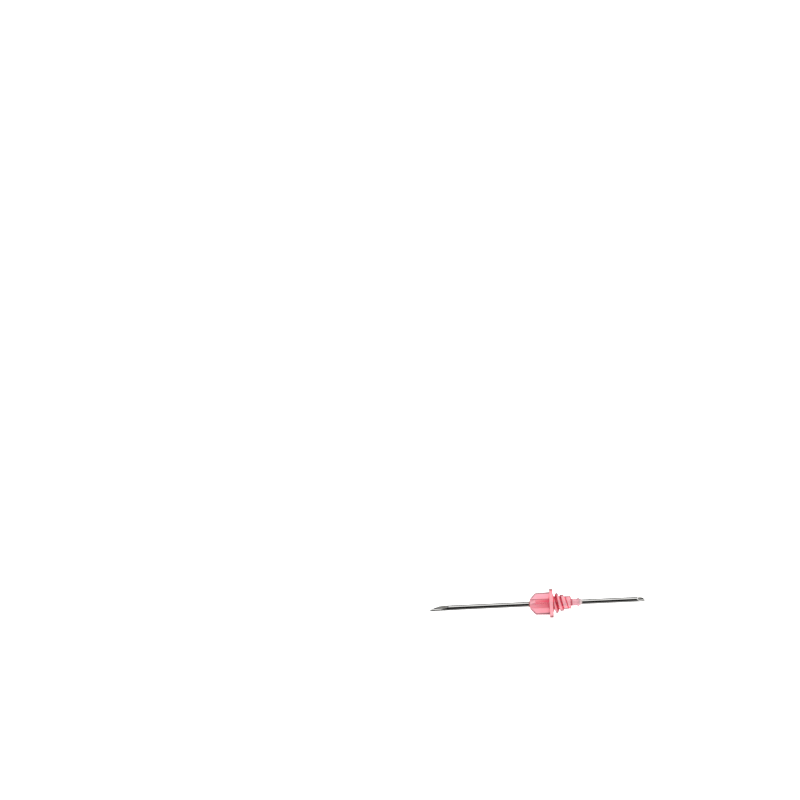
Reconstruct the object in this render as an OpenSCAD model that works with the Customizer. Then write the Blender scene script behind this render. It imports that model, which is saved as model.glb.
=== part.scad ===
// Double-ended blood collection needle, lying as it comes to rest on a flat surface.
// Lengths are in millimetres and angles in degrees.
// Each piece is drawn round the z axis, with the patient point at z = 0, the tube point at the top
// and +x towards the ground. lay_down() then tips it over and rests it on the surface.

/* [Cannula] */
// Outside diameter of the steel tube
tube_d = 1.27; // [1.1:0.01:1.4]
// Bore of the steel tube
lumen_d = 0.95; // [0.7:0.01:1.0]
// Length of tube in front of the hub, up to the patient point
patient_len = 25.4; // [19:0.1:38]
// Length of tube behind the hub, up to the tube point
rear_len = 16.5; // [12:0.1:22]

/* [Points] */
// Length of the long bevel at the patient point
patient_bevel = 5.1; // [3.5:0.1:6.5]
// Length of the short bevel at the tube point
rear_bevel = 2.2; // [1.4:0.1:3.5]
// Turn of the patient point about the tube, counted from straight down
point_turn = 16; // [0:1:30]
// Turn of the tube point about the tube, counted from straight down
rear_turn = 30; // [-180:1:180]
// Turn of each side grind about the tube, counted from the main bevel
grind_turn = 38; // [25:1:50]
// How many times steeper the side grinds are than the main bevel
grind_steepness = 1.38; // [1.2:0.01:1.7]

/* [Finned front] */
// Length of the fins, from the front face to the flange
fin_len = 4.9; // [4:0.1:7]
// Diameter across two fins where they meet the flange
fin_rear_d = 5.7; // [5:0.1:6.4]
// Diameter across two fins behind their front chamfer
fin_front_d = 5.46; // [4.6:0.1:6]
// Thickness of one fin
fin_t = 0.72; // [0.5:0.01:0.9]
// Number of fins
fin_count = 4; // [3:1:6]
// Turn of the fins about the needle, counted from straight down
fin_turn = 42.2; // [0:0.1:90]
// Diameter of the core between the fins
core_d = 2.4; // [2.2:0.01:2.5]
// Diameter of the front face, where the chamfer of the fins begins
face_d = 2.56; // [2.5:0.01:3.4]
// Length of the chamfer at the front of the fins
chamfer_len = 1.36; // [0.8:0.01:2]
// Radius of the fillet between a fin and the core
fin_fillet = 0.15; // [0.08:0.01:0.22]

/* [Flange] */
// Diameter of the flange
flange_d = 7.2; // [6.6:0.1:8.4]
// Thickness of the flange
flange_t = 0.9; // [0.7:0.1:1.4]
// Radius of the rounded edges of the flange
flange_edge = 0.12; // [0.05:0.01:0.2]
// Width of the flat on the rim where the moulding was cut from its gate
gate_flat_w = 1.2; // [0.6:0.1:1.6]

/* [Screw thread] */
// Length of the threaded boss behind the flange
thread_len = 4.5; // [4:0.1:6]
// Diameter of the boss at the root of the thread
root_d = 2.9; // [2.8:0.01:3.1]
// Largest diameter over the crests
crest_d = 5.2; // [4.6:0.1:5.4]
// Diameter over the last crests, cut down by the taper
end_crest_d = 3.24; // [3.2:0.01:3.6]
// Advance of the thread in one turn
lead = 2.5; // [2.4:0.1:3.2]
// Number of starts
starts = 2; // [1:1:2]
// Width of the full crests
crest_w = 0.3; // [0.2:0.01:0.36]
// Angle of each flank from square to the axis
flank_angle = 19; // [12:1:20]
// Length over which the crests keep their full height
full_len = 0.7; // [0.4:0.1:1.2]
// Length over which the taper then cuts the crests down
taper_len = 2.7; // [2:0.05:3.4]
// Turn of the first start about the needle, counted from the first fin
start_turn = 104; // [0:1:360]
// Chamfer at the rear edge of the boss
boss_chamfer = 0.1; // [0.05:0.01:0.2]

/* [Spigot] */
// Length of the spigot behind the threaded boss
spigot_len = 2.1; // [1.7:0.1:3]
// Diameter of the spigot
spigot_d = 1.76; // [1.66:0.01:1.9]
// Diameter over the barb at the end of the spigot
barb_d = 2.08; // [2:0.01:2.4]
// Length of the barb
barb_len = 0.6; // [0.4:0.05:0.9]
// Diameter of the spigot's end face
spigot_end_d = 1.84; // [1.8:0.01:1.95]

/* [Adhesive] */
// Gap between the tube and the bore of the hub, all round
bore_gap = 0.02; // [0.01:0.01:0.04]
// Gap that the set adhesive leaves to the tube and to the hub
film_gap = 0.01; // [0.005:0.005:0.02]
// Diameter of the well in the front face
front_well_d = 1.9; // [1.7:0.01:2]
// Depth of the well in the front face
front_well_depth = 0.9; // [0.5:0.1:1.5]
// Diameter of the well in the spigot's end
rear_well_d = 1.6; // [1.52:0.01:1.66]
// Depth of the well in the spigot's end
rear_well_depth = 0.5; // [0.3:0.1:0.9]
// Diameter of the rear bead where it meets the spigot
bead_d = 1.74; // [1.6:0.01:1.8]
// Length of the rear bead behind the spigot
bead_len = 0.6; // [0.4:0.05:0.9]

/* [Hidden] */
$fn = 96;

tube_r = tube_d / 2;
lumen_r = lumen_d / 2;
bore_r = tube_r + bore_gap;
glue_r = tube_r + film_gap;
core_r = core_d / 2;
flange_r = flange_d / 2;
root_r = root_d / 2;
crest_r = crest_d / 2;
end_crest_r = end_crest_d / 2;
spigot_r = spigot_d / 2;
front_well_r = front_well_d / 2;
rear_well_r = rear_well_d / 2;

// Places along the needle
front_z = patient_len;
flange_z = front_z + fin_len;
thread_z = flange_z + flange_t;
spigot_z = thread_z + thread_len;
end_z = spigot_z + spigot_len;
total_len = end_z + rear_len;

// Share of the well's depth that the adhesive fills
well_fill = 0.8;
// The meniscus of the front adhesive, as wide as the well leaves, and its slightly smaller hollow
meniscus = front_well_r - film_gap - glue_r;
meniscus_hollow = 0.93 * meniscus;

// Steps of the thread in one turn, and how deep its foot and its ends are sunk in the hub
turn_steps = 36;
foot_depth = 0.1;
end_depth = 0.3;
foot_r = root_r - foot_depth;
foot_w = crest_w + 2 * (crest_r - foot_r) * tan(flank_angle);
thread_run = thread_len + end_depth + foot_w / 2;
thread_steps = ceil(thread_run / lead * turn_steps);

// Spots on the edge of the patient point, as place along the tube and distance down, from its tip
// round to the underside. The lowest of them, as the tube leans, is where it rests.
lean = (flange_r - tube_r) / flange_z;
spots = [for (turn = [0 : 1 : point_turn]) [edge_z(turn), tube_r * cos(point_turn - turn)]];
lowest = max([for (spot = spots) spot[1] - lean * spot[0]]);
rest_spot = [for (spot = spots) if (spot[1] - lean * spot[0] == lowest) spot][0];

// The gate flat faces the ground, because the needle rolls until it lies on it. It ends in front
// where it runs into the rounded edge of the flange.
gate_x = sqrt(pow(flange_r, 2) - pow(gate_flat_w / 2, 2));
gate_rise = max(gate_x - (flange_r - flange_edge), 0);
gate_z = flange_z + flange_edge - sqrt(pow(flange_edge, 2) - pow(gate_rise, 2));

// Rest on that spot of the point and on the front end of the gate flat
rest_tilt = atan2(gate_x - rest_spot[1], gate_z - rest_spot[0]);
rest_lift = rest_spot[1] * cos(rest_tilt) - rest_spot[0] * sin(rest_tilt);
low_end = tube_r * cos(point_turn) * sin(rest_tilt);
high_end = total_len * cos(rest_tilt) + tube_r * cos(rear_turn) * sin(rest_tilt);

// Place along the tube of the edge that the grinds leave, at a turn from the tip of the point
function edge_z(turn) =
    let (slope = tube_d / patient_bevel)
    let (main = tube_r * (1 - cos(turn)) / slope)
    let (side = tube_r * (cos(grind_turn) - cos(turn + grind_turn)) / slope / grind_steepness)
    max(main, side);

// Radius of the crest at a height above the front of the thread
function crest_at(h) =
    let (share = min(max((h - full_len) / taper_len, 0), 1))
    crest_r - (crest_r - end_crest_r) * share;

// Trapezium of the thread, as radius and height, at one step along the helix
function thread_section(step) =
    let (h = step * lead / turn_steps - end_depth)
    let (r = crest_at(h))
    let (top_w = crest_w + 2 * (crest_r - r) * tan(flank_angle))
    [[foot_r, h - foot_w / 2], [r, h - top_w / 2], [r, h + top_w / 2], [foot_r, h + foot_w / 2]];

function thread_points(first_turn) = [
    for (step = [0 : thread_steps])
        let (turn = first_turn + step * 360 / turn_steps)
        for (p = thread_section(step)) [p[0] * cos(turn), p[0] * sin(turn), p[1]]
];

// One right-handed ridge, swept up the helix and closed at both ends
module thread_ridge(first_turn) {
    last = 4 * thread_steps;
    sides = [
        for (step = [0 : thread_steps - 1])
            for (k = [0 : 3])
                let (a = 4 * step + k)
                let (b = 4 * step + (k + 1) % 4)
                each [[a, b, a + 4], [b, b + 4, a + 4]]
    ];
    ends = [[0, 2, 1], [0, 3, 2], [last, last + 1, last + 2], [last, last + 2, last + 3]];
    polyhedron(thread_points(first_turn), concat(sides, ends), convexity = 6);
}

// Both starts of the thread, cut off flat inside the flange and inside the boss
module thread() {
    intersection() {
        translate([0, 0, thread_z])
            for (k = [0 : starts - 1]) thread_ridge(start_turn + k * 360 / starts);
        translate([0, 0, thread_z - end_depth])
            cylinder(r = flange_r - flange_edge, h = thread_len + end_depth - boss_chamfer);
    }
}

// Cross section of the finned front, with filleted roots
module fin_section() {
    fillet_y = fin_t / 2 + fin_fillet;
    fillet_x = sqrt(pow(core_r + fin_fillet, 2) - pow(fillet_y, 2));
    touch = core_r / (core_r + fin_fillet);
    circle(r = core_r);
    for (k = [0 : fin_count - 1])
        rotate(k * 360 / fin_count) {
            translate([0, -fin_t / 2]) square([fin_rear_d, fin_t]);
            for (side = [0, 1])
                mirror([0, side])
                    difference() {
                        polygon([
                            [core_r / 2, 0],
                            [fillet_x, fin_t / 2],
                            [fillet_x, fillet_y],
                            [fillet_x * touch, fillet_y * touch]
                        ]);
                        translate([fillet_x, fillet_y]) circle(r = fin_fillet);
                    }
        }
}

// The fins and their core, under a chamfered and slightly drafted envelope
module fins() {
    overlap = flange_t / 2;
    intersection() {
        translate([0, 0, front_z]) linear_extrude(height = fin_len + overlap) fin_section();
        rotate_extrude()
            polygon([
                [0, front_z],
                [face_d / 2, front_z],
                [fin_front_d / 2, front_z + chamfer_len],
                [fin_rear_d / 2, flange_z],
                [fin_rear_d / 2, flange_z + overlap],
                [0, flange_z + overlap]
            ]);
    }
}

// Half section of the flange, with both edges rounded
module flange_section() {
    rim = flange_r - flange_edge;
    translate([0, flange_z]) {
        square([rim, flange_t]);
        translate([0, flange_edge]) square([flange_r, flange_t - 2 * flange_edge]);
        for (y = [flange_edge, flange_t - flange_edge])
            translate([rim, y]) circle(r = flange_edge);
    }
}

// Half section of the boss that carries the thread, and of the barbed spigot behind it
module rear_section() {
    barb_z = end_z - barb_len;
    polygon([
        [0, flange_z],
        [root_r, flange_z],
        [root_r, spigot_z - boss_chamfer],
        [root_r - boss_chamfer, spigot_z],
        [spigot_r, spigot_z],
        [spigot_r, barb_z],
        [barb_d / 2, barb_z + barb_len / 4],
        [barb_d / 2, barb_z + barb_len / 2],
        [spigot_end_d / 2, end_z],
        [0, end_z]
    ]);
}

// One steel tube, ground to a point at both ends
module tube() {
    difference() {
        cylinder(r = tube_r, h = total_len);
        translate([0, 0, -1]) cylinder(r = lumen_r, h = total_len + 2);
        rotate([0, 0, point_turn]) point_grinds(patient_bevel);
        translate([0, 0, total_len])
            rotate([0, 0, rear_turn])
                mirror([0, 0, 1]) point_grinds(rear_bevel);
    }
}

// What the main bevel and the two side grinds take off a point at z = 0, with its tip on +x
module point_grinds(bevel) {
    slope = tube_d / bevel;
    grind(atan(slope), tube_r, bevel);
    for (side = [-1, 1])
        rotate([0, 0, side * grind_turn])
            grind(atan(grind_steepness * slope), tube_r * cos(grind_turn), bevel);
}

// The waste in front of one ground plane, which leaves the x axis at x = reach
module grind(angle, reach, bevel) {
    waste = 3 * tube_d;
    translate([reach, 0, 0])
        rotate([0, -angle, 0])
            translate([-waste, -waste, -waste]) cube([waste, 2 * waste, bevel + 2 * waste]);
}

// Tips a piece over and rests it on the surface, with the needle's box centred on the origin
module lay_down() {
    translate([-(low_end + high_end) / 2, 0, rest_lift])
        rotate([0, 90 - rest_tilt, 0]) children();
}

module cannula() {
    color("#c9ccd0") lay_down() tube();
}

// Through bore for the tube, with a well for the adhesive at each end
module hub_bore() {
    translate([0, 0, front_z - 1]) cylinder(r = bore_r, h = end_z - front_z + 2);
    translate([0, 0, front_z]) cylinder(r1 = front_well_r, r2 = bore_r, h = front_well_depth);
    translate([0, 0, end_z - rear_well_depth])
        cylinder(r1 = bore_r, r2 = rear_well_r, h = rear_well_depth);
}

// What the gate cutter takes off the rim of the flange
module gate_waste() {
    translate([gate_x, -flange_r, flange_z - 1])
        cube([flange_r, flange_d, flange_t + 2]);
}

module hub() {
    color("#f590a2")
        lay_down()
            difference() {
                rotate([0, 0, fin_turn]) {
                    fins();
                    rotate_extrude() {
                        flange_section();
                        rear_section();
                    }
                    thread();
                }
                hub_bore();
                gate_waste();
            }
}

// Fills the front well and climbs the tube in a hollow meniscus
module front_adhesive() {
    bottom = front_well_depth * well_fill;
    bottom_r = front_well_r + (bore_r - front_well_r) * well_fill - film_gap;
    color("#efc9c4")
        lay_down()
            translate([0, 0, front_z])
                rotate_extrude() {
                    polygon([
                        [glue_r, 0],
                        [glue_r + meniscus, 0],
                        [bottom_r, bottom],
                        [glue_r, bottom]
                    ]);
                    difference() {
                        translate([glue_r, -meniscus]) square([meniscus, meniscus]);
                        translate([glue_r + meniscus, -meniscus]) circle(r = meniscus_hollow);
                    }
                }
}

// Fills the rear well and ends in a bead that tapers onto the tube
module rear_adhesive() {
    bottom = rear_well_depth * well_fill;
    bottom_r = rear_well_r + (bore_r - rear_well_r) * well_fill - film_gap;
    seat = film_gap;
    color("#f1dcd6")
        lay_down()
            translate([0, 0, end_z])
                rotate_extrude()
                    polygon([
                        [glue_r, -bottom],
                        [bottom_r, -bottom],
                        [rear_well_r - film_gap, 0],
                        [rear_well_r - film_gap, seat],
                        [bead_d / 2, seat],
                        [bead_d / 2 - bead_len / 12, bead_len / 3],
                        [glue_r + bead_len / 20, bead_len],
                        [glue_r, bead_len]
                    ]);
}

cannula();
hub();
front_adhesive();
rear_adhesive();
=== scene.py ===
"""Double-ended blood collection needle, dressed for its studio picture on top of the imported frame."""

import math

import bmesh
import bpy
import numpy as np
from bpy.props import FloatProperty, FloatVectorProperty, IntProperty, PointerProperty
from mathutils import Matrix, Vector


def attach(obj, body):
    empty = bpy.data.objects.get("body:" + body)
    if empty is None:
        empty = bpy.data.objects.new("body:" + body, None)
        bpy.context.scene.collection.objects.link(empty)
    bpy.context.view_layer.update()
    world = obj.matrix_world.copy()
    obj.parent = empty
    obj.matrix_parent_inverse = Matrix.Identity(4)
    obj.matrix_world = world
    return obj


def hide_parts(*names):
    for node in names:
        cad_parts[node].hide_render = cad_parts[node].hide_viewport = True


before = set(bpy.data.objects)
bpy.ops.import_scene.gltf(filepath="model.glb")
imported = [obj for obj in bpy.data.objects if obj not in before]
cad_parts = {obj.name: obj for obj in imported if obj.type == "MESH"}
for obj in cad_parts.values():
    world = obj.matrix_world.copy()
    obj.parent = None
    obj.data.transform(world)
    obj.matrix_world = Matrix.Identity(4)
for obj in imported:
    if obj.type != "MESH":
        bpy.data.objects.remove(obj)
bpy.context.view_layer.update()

bl_info = {
    "name": "Blood Collection Needle",
    "version": (1, 0, 0),
    "blender": (4, 5, 0),
    "location": "3D View > Sidebar > Needle",
    "description": "Builds the tube, the hub and the adhesive of a double-ended needle, and its studio",
    "category": "Object",
}

MM = 1000.0


def length(name, description, default):
    """A length in metres, given in millimetres."""
    return FloatProperty(
        name=name, description=description, default=default / MM, unit="LENGTH", precision=5
    )


def turn(name, description, default):
    """An angle, given in degrees."""
    return FloatProperty(
        name=name, description=description, default=math.radians(default), unit="ROTATION"
    )


def colour(name, description, default):
    return FloatVectorProperty(
        name=name, description=description, default=default, subtype="COLOR", min=0.0, max=1.0
    )


def share(name, description, default):
    return FloatProperty(
        name=name, description=description, default=default, subtype="FACTOR", min=0.0, max=1.0
    )


# Sizes and colours


class TubeSettings(bpy.types.PropertyGroup):
    """Sizes and finish of the steel tube and its two points."""

    outside: length("Outside diameter", "Outside diameter of the steel tube", 1.27)
    lumen: length("Lumen", "Bore of the steel tube", 0.95)
    front_reach: length("Front reach", "Tube in front of the hub", 25.4)
    rear_reach: length("Rear reach", "Tube behind the hub", 16.5)
    patient_bevel: length("Patient bevel", "Length of the long bevel", 5.1)
    rear_bevel: length("Rear bevel", "Length of the short bevel", 2.2)
    point_turn: turn("Patient point turn", "Turn of the patient point from straight down", 16)
    rear_turn: turn("Tube point turn", "Turn of the tube point from straight down", 30)
    grind_turn: turn("Side grind turn", "Turn of each side grind from the main bevel", 38)
    grind_steepness: FloatProperty(
        name="Side grind steepness", description="Side grinds against the main bevel", default=1.38
    )
    steel: colour("Steel", "Colour of the drawn steel", (0.79, 0.785, 0.765))
    ground: colour("Ground steel", "Colour of the ground faces", (0.32, 0.32, 0.31))
    inner: colour("Lumen steel", "Colour inside the lumen", (0.72, 0.72, 0.7))
    roughness: share("Roughness", "Roughness of the drawn steel", 0.05)
    ground_roughness: share("Ground roughness", "Roughness of the ground faces", 0.24)


class HubSettings(bpy.types.PropertyGroup):
    """Sizes and finish of the pink moulding."""

    fin_reach: length("Fin length", "From the front face to the flange", 4.9)
    fin_rear: length("Fins at the flange", "Diameter across two fins at the flange", 5.7)
    fin_front: length("Fins in front", "Diameter across two fins behind the chamfer", 5.46)
    fin_thickness: length("Fin thickness", "Thickness of one fin", 0.72)
    fin_count: IntProperty(name="Fins", description="Number of fins", default=4, min=3, max=6)
    fin_turn: turn("Fin turn", "Turn of the fins from straight down", 42.2)
    core: length("Core", "Diameter of the core between the fins", 2.4)
    face: length("Front face", "Diameter where the chamfer begins", 2.56)
    chamfer: length("Chamfer", "Length of the chamfer on the fins", 1.36)
    fillet: length("Fillet", "Between a fin and the core", 0.15)
    flange: length("Flange", "Diameter of the flange", 7.2)
    flange_thickness: length("Flange thickness", "Thickness of the flange", 0.9)
    flange_edge: length("Flange edge", "Radius of the flange's edges", 0.12)
    gate_flat: length("Gate flat", "Width of the flat on the flange's rim", 1.2)
    boss: length("Threaded boss", "Length of the threaded boss", 4.5)
    boss_chamfer: length("Boss chamfer", "Chamfer at the rear of the boss", 0.1)
    spigot: length("Spigot length", "Length of the spigot", 2.1)
    spigot_wide: length("Spigot", "Diameter of the spigot", 1.76)
    barb: length("Barb", "Diameter over the barb", 2.08)
    barb_long: length("Barb length", "Length of the barb", 0.6)
    spigot_end: length("Spigot end", "Diameter of the spigot's end face", 1.84)
    bore_gap: length("Bore gap", "Between the tube and the bore", 0.02)
    front_well: length("Front well", "Diameter of the well in the front face", 1.9)
    front_well_deep: length("Front well depth", "Depth of that well", 0.9)
    rear_well: length("Rear well", "Diameter of the well in the spigot's end", 1.6)
    rear_well_deep: length("Rear well depth", "Depth of that well", 0.5)
    skin: colour("Thin plastic", "Colour of the plastic where it is thin", (1.0, 0.57, 0.64))
    # The thick colour is also painted shade: in the thread's grooves, in the crease at the thread's foot and at
    # the spigot's base, and in the core's corner at the flange.
    deep: colour("Thick plastic", "Colour of the plastic where it is thick", (0.9, 0.14, 0.215))
    # Painted shade: the rim colour is painted as dark outlines on the clear plastic where it is seen edge on,
    # along the fins' outer edges and at the spigot's base; it also greys the spigot towards its end.
    rim: colour("Rim", "Colour of the outlines, where the surface is seen edge on", (0.31, 0.22, 0.23))
    dye: colour("Dye", "Colour that the plastic lets through", (0.99, 0.04, 0.2))
    dye_strength: FloatProperty(
        name="Dye strength", description="Absorption for each metre of plastic", default=800.0
    )
    clearness: share("Clearness", "Share of light that passes the surface", 0.5)
    roughness: share("Roughness", "Roughness of the moulded surface", 0.13)


class ThreadSettings(bpy.types.PropertyGroup):
    """Form of the tapered screw thread."""

    root: length("Root", "Diameter at the root of the thread", 2.9)
    crest: length("Crest", "Diameter over the first crests", 5.2)
    end_crest: length("Last crests", "Diameter over the last crests", 3.24)
    lead: length("Lead", "Advance in one turn", 2.5)
    starts: IntProperty(name="Starts", description="Number of starts", default=2, min=1, max=3)
    crest_width: length("Crest width", "Width of the full crests", 0.3)
    flank: turn("Flank", "Angle of each flank from square to the axis", 19)
    full: length("Full height", "Length over which the crests keep their height", 0.7)
    taper: length("Taper", "Length over which the taper cuts the crests down", 2.7)
    sunk: length("Sunk start", "How far the start lies inside the flange", 0.3)
    start_turn: turn("Start turn", "Turn of the first start from the first fin", 104)


class AdhesiveSettings(bpy.types.PropertyGroup):
    """Sizes and finish of the two lots of set adhesive."""

    film: length("Film gap", "Between the adhesive and its neighbours", 0.01)
    fill: share("Fill", "Share of each well's depth that is filled", 0.8)
    bead: length("Bead", "Diameter of the rear bead at the spigot", 1.74)
    bead_long: length("Bead length", "Length of the rear bead", 0.6)
    front_tint: colour("Front adhesive", "Colour of the front adhesive", (0.5, 0.24, 0.21))
    rear_tint: colour("Rear adhesive", "Colour of the rear adhesive", (0.88, 0.72, 0.73))
    roughness: share("Roughness", "Roughness of the set adhesive", 0.12)


class StudioSettings(bpy.types.PropertyGroup):
    """Floor, light and camera of the picture."""

    floor: colour("Floor", "Colour of the floor", (0.93, 0.93, 0.93))
    sky: FloatProperty(name="Sky", description="Brightness straight above", default=1.25)
    side: FloatProperty(name="Side", description="Brightness at the horizon", default=1.1)
    strip: FloatProperty(
        name="Strip", description="Brightness of the strip light as steel mirrors it", default=1.1
    )
    # dark and mirrored also set the painted shade of the table as steel mirrors it: dark in front of the
    # needle, mirrored right under it.
    dark: share("Dark", "Brightness of the dark front as steel mirrors it", 0.002)
    far: share("Far", "Brightness at the horizon behind as steel mirrors it", 0.08)
    glow: share("Glow", "Brightness of the lit table", 0.8)
    mirrored: share("Mirrored table", "Brightness of the table under the needle as steel mirrors it", 0.22)
    camera_place: FloatVectorProperty(
        name="Camera",
        description="Place of the camera",
        default=(-0.04418, -0.69473, 0.49611),
        subtype="TRANSLATION",
        unit="LENGTH",
        precision=5,
    )
    camera_down: turn("Down", "How far the camera looks down", 32)
    camera_turn: turn("Turn", "Turn of the camera to the left", -0.647)
    camera_roll: turn("Roll", "Roll of the camera about its line of sight", 2.292)
    lens: FloatProperty(name="Lens", description="Focal length on a 36 mm sensor", default=153.0)


# Where things lie


def mm(value):
    return value * MM


class Places:
    """Every place along the needle, in millimetres, from the patient point."""

    def __init__(self, scene):
        tube, hub = scene.needle_tube, scene.needle_hub
        self.front = mm(tube.front_reach)
        self.flange = self.front + mm(hub.fin_reach)
        self.thread = self.flange + mm(hub.flange_thickness)
        self.spigot = self.thread + mm(hub.boss)
        self.end = self.spigot + mm(hub.spigot)
        self.total = self.end + mm(tube.rear_reach)
        self.tube_r = mm(tube.outside) / 2
        self.lumen_r = mm(tube.lumen) / 2
        self.bore_r = self.tube_r + mm(hub.bore_gap)
        self.flange_r = mm(hub.flange) / 2
        self.gate_x = math.sqrt(self.flange_r**2 - (mm(hub.gate_flat) / 2) ** 2)
        self.lay_down = self._lay_down(tube, hub)

    def _lay_down(self, tube, hub):
        """Matrix from the needle's own axes, z along it and +x down, to the row frame in metres."""
        turn_down, slope = tube.point_turn, mm(tube.outside) / mm(tube.patient_bevel)
        spots = []
        for step in range(int(math.degrees(turn_down) + 0.5) + 1):
            a = math.radians(step)
            main = self.tube_r * (1 - math.cos(a)) / slope
            side = self.tube_r * (math.cos(tube.grind_turn) - math.cos(a + tube.grind_turn))
            along = max(main, side / slope / tube.grind_steepness)
            spots.append((along, self.tube_r * math.cos(turn_down - a)))
        lean = (self.flange_r - self.tube_r) / self.flange
        along, down = max(spots, key=lambda spot: spot[1] - lean * spot[0])
        edge = mm(hub.flange_edge)
        rise = max(self.gate_x - (self.flange_r - edge), 0)
        gate_z = self.flange + edge - math.sqrt(edge**2 - rise**2)
        tilt = math.atan2(self.gate_x - down, gate_z - along)
        c, s = math.cos(tilt), math.sin(tilt)
        low = self.tube_r * math.cos(turn_down) * s
        high = self.total * c + self.tube_r * math.cos(tube.rear_turn) * s
        place = Matrix(
            (
                (s, 0, c, -(low + high) / 2),
                (0, 1, 0, 0),
                (-c, 0, s, down * c - along * s),
                (0, 0, 0, 1),
            )
        )
        return Matrix.Scale(1 / MM, 4) @ place


# Mesh helpers


def ring_surface(rows, name):
    """Mesh of closed rings, each a list of points, joined one to the next."""
    count = len(rows[0])
    points = [p for row in rows for p in row]
    faces = [
        (
            row * count + k,
            row * count + (k + 1) % count,
            (row + 1) * count + (k + 1) % count,
            (row + 1) * count + k,
        )
        for row in range(len(rows) - 1)
        for k in range(count)
    ]
    mesh = bpy.data.meshes.new(name)
    mesh.from_pydata(points, [], faces)
    return mesh


def lathe_rows(profile, count):
    """Rings of points round the z axis, one for each radius and height of the profile."""
    turns = [2 * math.pi * k / count for k in range(count)]
    return [[(r * math.cos(a), r * math.sin(a), z) for a in turns] for r, z in profile]


def arc(centre_r, centre_z, radius, start, end, steps):
    """Profile points on an arc, with angles in degrees from the outward radius towards +z."""
    angles = [math.radians(start + (end - start) * k / steps) for k in range(steps + 1)]
    return [(centre_r + radius * math.cos(a), centre_z + radius * math.sin(a)) for a in angles]


def closed_mesh(bm, name, place, sharp=28.0):
    """Finishes a closed shell: merged, facing outwards, in the row frame, smooth between its edges."""
    bmesh.ops.remove_doubles(bm, verts=bm.verts, dist=1e-4)
    bmesh.ops.dissolve_degenerate(bm, edges=bm.edges, dist=1e-5)
    bmesh.ops.recalc_face_normals(bm, faces=bm.faces)
    open_edges = sum(not e.is_manifold for e in bm.edges)
    if open_edges:
        raise RuntimeError(f"{name} has {open_edges} open edges")
    bm.transform(place)
    if bm.calc_volume(signed=True) < 0:
        bmesh.ops.reverse_faces(bm, faces=bm.faces)
    mesh = bpy.data.meshes.new(name)
    bm.to_mesh(mesh)
    bm.free()
    mesh.polygons.foreach_set("use_smooth", [True] * len(mesh.polygons))
    mesh.set_sharp_from_angle(angle=math.radians(sharp))
    return mesh


def put_in_scene(mesh, node, slot, *materials):
    """Shows a finished mesh in place of a CAD node."""
    mesh.materials.clear()
    for material in materials:
        mesh.materials.append(material)
    piece = bpy.data.objects.new(mesh.name, mesh)
    bpy.context.scene.collection.objects.link(piece)
    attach(piece, "root")
    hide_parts(node)
    return piece


# Node helpers


class Wiring:
    """Short ways to add and join nodes in one tree."""

    def __init__(self, tree):
        self.tree = tree

    def node(self, kind, **settings):
        made = self.tree.nodes.new(kind)
        for key, value in settings.items():
            setattr(made, key, value)
        return made

    def feed(self, socket, value):
        if isinstance(value, bpy.types.NodeSocket):
            self.tree.links.new(value, socket)
        else:
            socket.default_value = value

    def sum(self, operation, *values):
        made = self.node("ShaderNodeMath", operation=operation)
        for socket, value in zip(made.inputs, values):
            self.feed(socket, value)
        return made.outputs[0]


def new_geometry_tree(name, inputs):
    """A Geometry Nodes tree with a geometry in and out and the named inputs."""
    tree = bpy.data.node_groups.new(name, "GeometryNodeTree")
    tree.interface.new_socket("Geometry", in_out="INPUT", socket_type="NodeSocketGeometry")
    tree.interface.new_socket("Geometry", in_out="OUTPUT", socket_type="NodeSocketGeometry")
    for label, kind in inputs:
        tree.interface.new_socket(label, in_out="INPUT", socket_type=kind)
    wiring = Wiring(tree)
    return tree, wiring, wiring.node("NodeGroupInput"), wiring.node("NodeGroupOutput")


def run_geometry_tree(mesh, tree, values):
    """The plain mesh that a tree makes of a mesh, with its named inputs set first."""
    scratch = bpy.data.objects.new("scratch", mesh)
    bpy.context.scene.collection.objects.link(scratch)
    modifier = scratch.modifiers.new("tree", "NODES")
    modifier.node_group = tree
    sockets = {s.name: s.identifier for s in tree.interface.items_tree if s.in_out == "INPUT"}
    for label, value in values.items():
        modifier[sockets[label]] = value
    scratch.update_tag()
    bpy.context.view_layer.update()
    seen = scratch.evaluated_get(bpy.context.evaluated_depsgraph_get())
    made = bpy.data.meshes.new_from_object(seen)
    scratch.modifiers.remove(modifier)
    bpy.data.objects.remove(scratch)
    bpy.data.meshes.remove(mesh)
    return made


# Finishes


def shader_group(name, inputs, outputs):
    tree = bpy.data.node_groups.new(name, "ShaderNodeTree")
    for label, kind, default in inputs:
        socket = tree.interface.new_socket(label, in_out="INPUT", socket_type=kind)
        if default is not None:
            socket.default_value = default
    for label, kind in outputs:
        tree.interface.new_socket(label, in_out="OUTPUT", socket_type=kind)
    wiring = Wiring(tree)
    return tree, wiring, wiring.node("NodeGroupInput"), wiring.node("NodeGroupOutput")


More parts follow.
